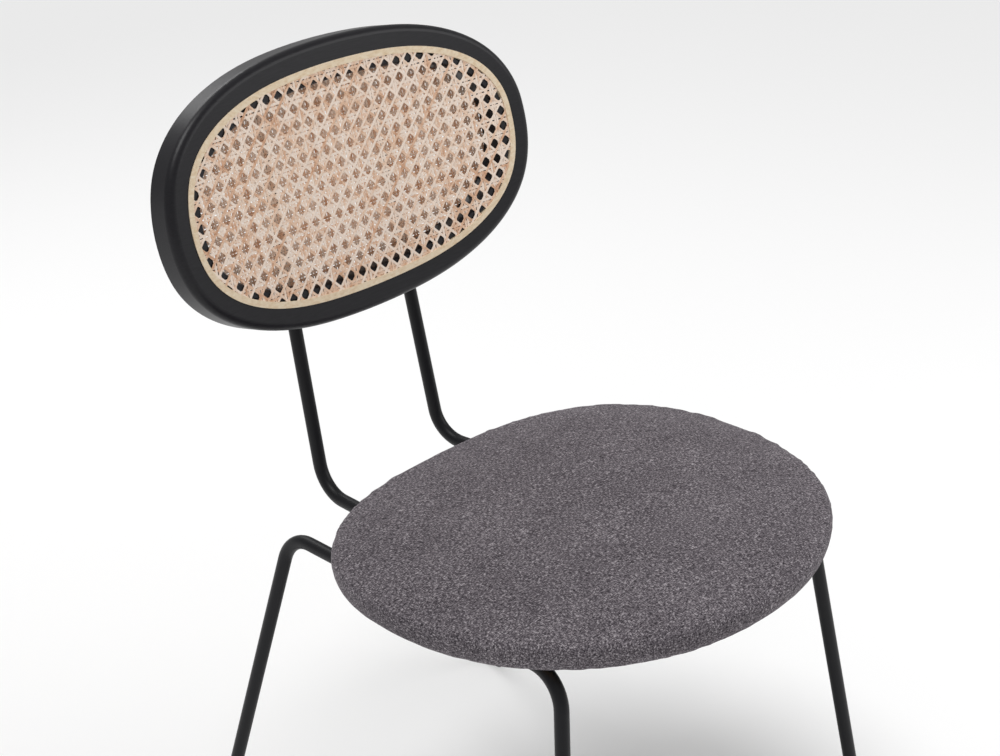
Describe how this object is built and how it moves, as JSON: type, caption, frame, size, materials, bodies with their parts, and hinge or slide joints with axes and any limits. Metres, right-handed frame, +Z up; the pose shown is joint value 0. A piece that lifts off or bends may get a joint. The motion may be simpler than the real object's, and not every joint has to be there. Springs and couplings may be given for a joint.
{
  "type": "dining chair",
  "caption": "Dining chair with a slim bent steel frame, a round upholstered seat and a tilted oval cane back.",
  "frame": {"origin": "on the floor under the middle of the overall box", "axes": "+Z up, the sitter faces -Y, +X to the right seen from the front"},
  "size_m": [0.5076, 0.6117, 0.8273],
  "materials": {
    "fabric": "matt woven melange, mid grey",
    "foam": "open-cell foam",
    "plywood": "raw birch plywood",
    "lining": "thin non-woven lining",
    "zinc_steel": "zinc plated",
    "black_steel": "fine matt powder coat",
    "black_plastic": "moulded matt",
    "black_wood": "satin black lacquer",
    "cane": "natural woven cane",
    "reed": "natural reed",
    "black_screw": "black oxide"
  },
  "bodies": {
    "root": {"seat_cover": "fabric", "seat_foam": "foam", "seat_board": "plywood", "dust_cover": "lining", "staples": "zinc_steel", "tee_nuts": "zinc_steel", "seat_bolts": "zinc_steel", "seat_washers": "zinc_steel", "left_side_frame": "black_steel", "right_side_frame": "black_steel", "front_cross_rail": "black_steel", "rear_cross_rail": "black_steel", "front_left_seat_tab": "black_steel", "front_right_seat_tab": "black_steel", "rear_left_seat_tab": "black_steel", "rear_right_seat_tab": "black_steel", "left_upright": "black_steel", "right_upright": "black_steel", "left_upright_plug": "black_plastic", "right_upright_plug": "black_plastic", "left_arm_plug": "black_plastic", "right_arm_plug": "black_plastic", "front_left_foot_plug": "black_plastic", "front_right_foot_plug": "black_plastic", "rear_left_foot_plug": "black_plastic", "rear_right_foot_plug": "black_plastic", "back_ring": "black_wood", "front_cane": "cane", "rear_cane": "cane", "front_spline": "reed", "rear_spline": "reed", "back_screws": "black_screw", "back_spacers": "black_plastic"}
  },
  "joints": []
}
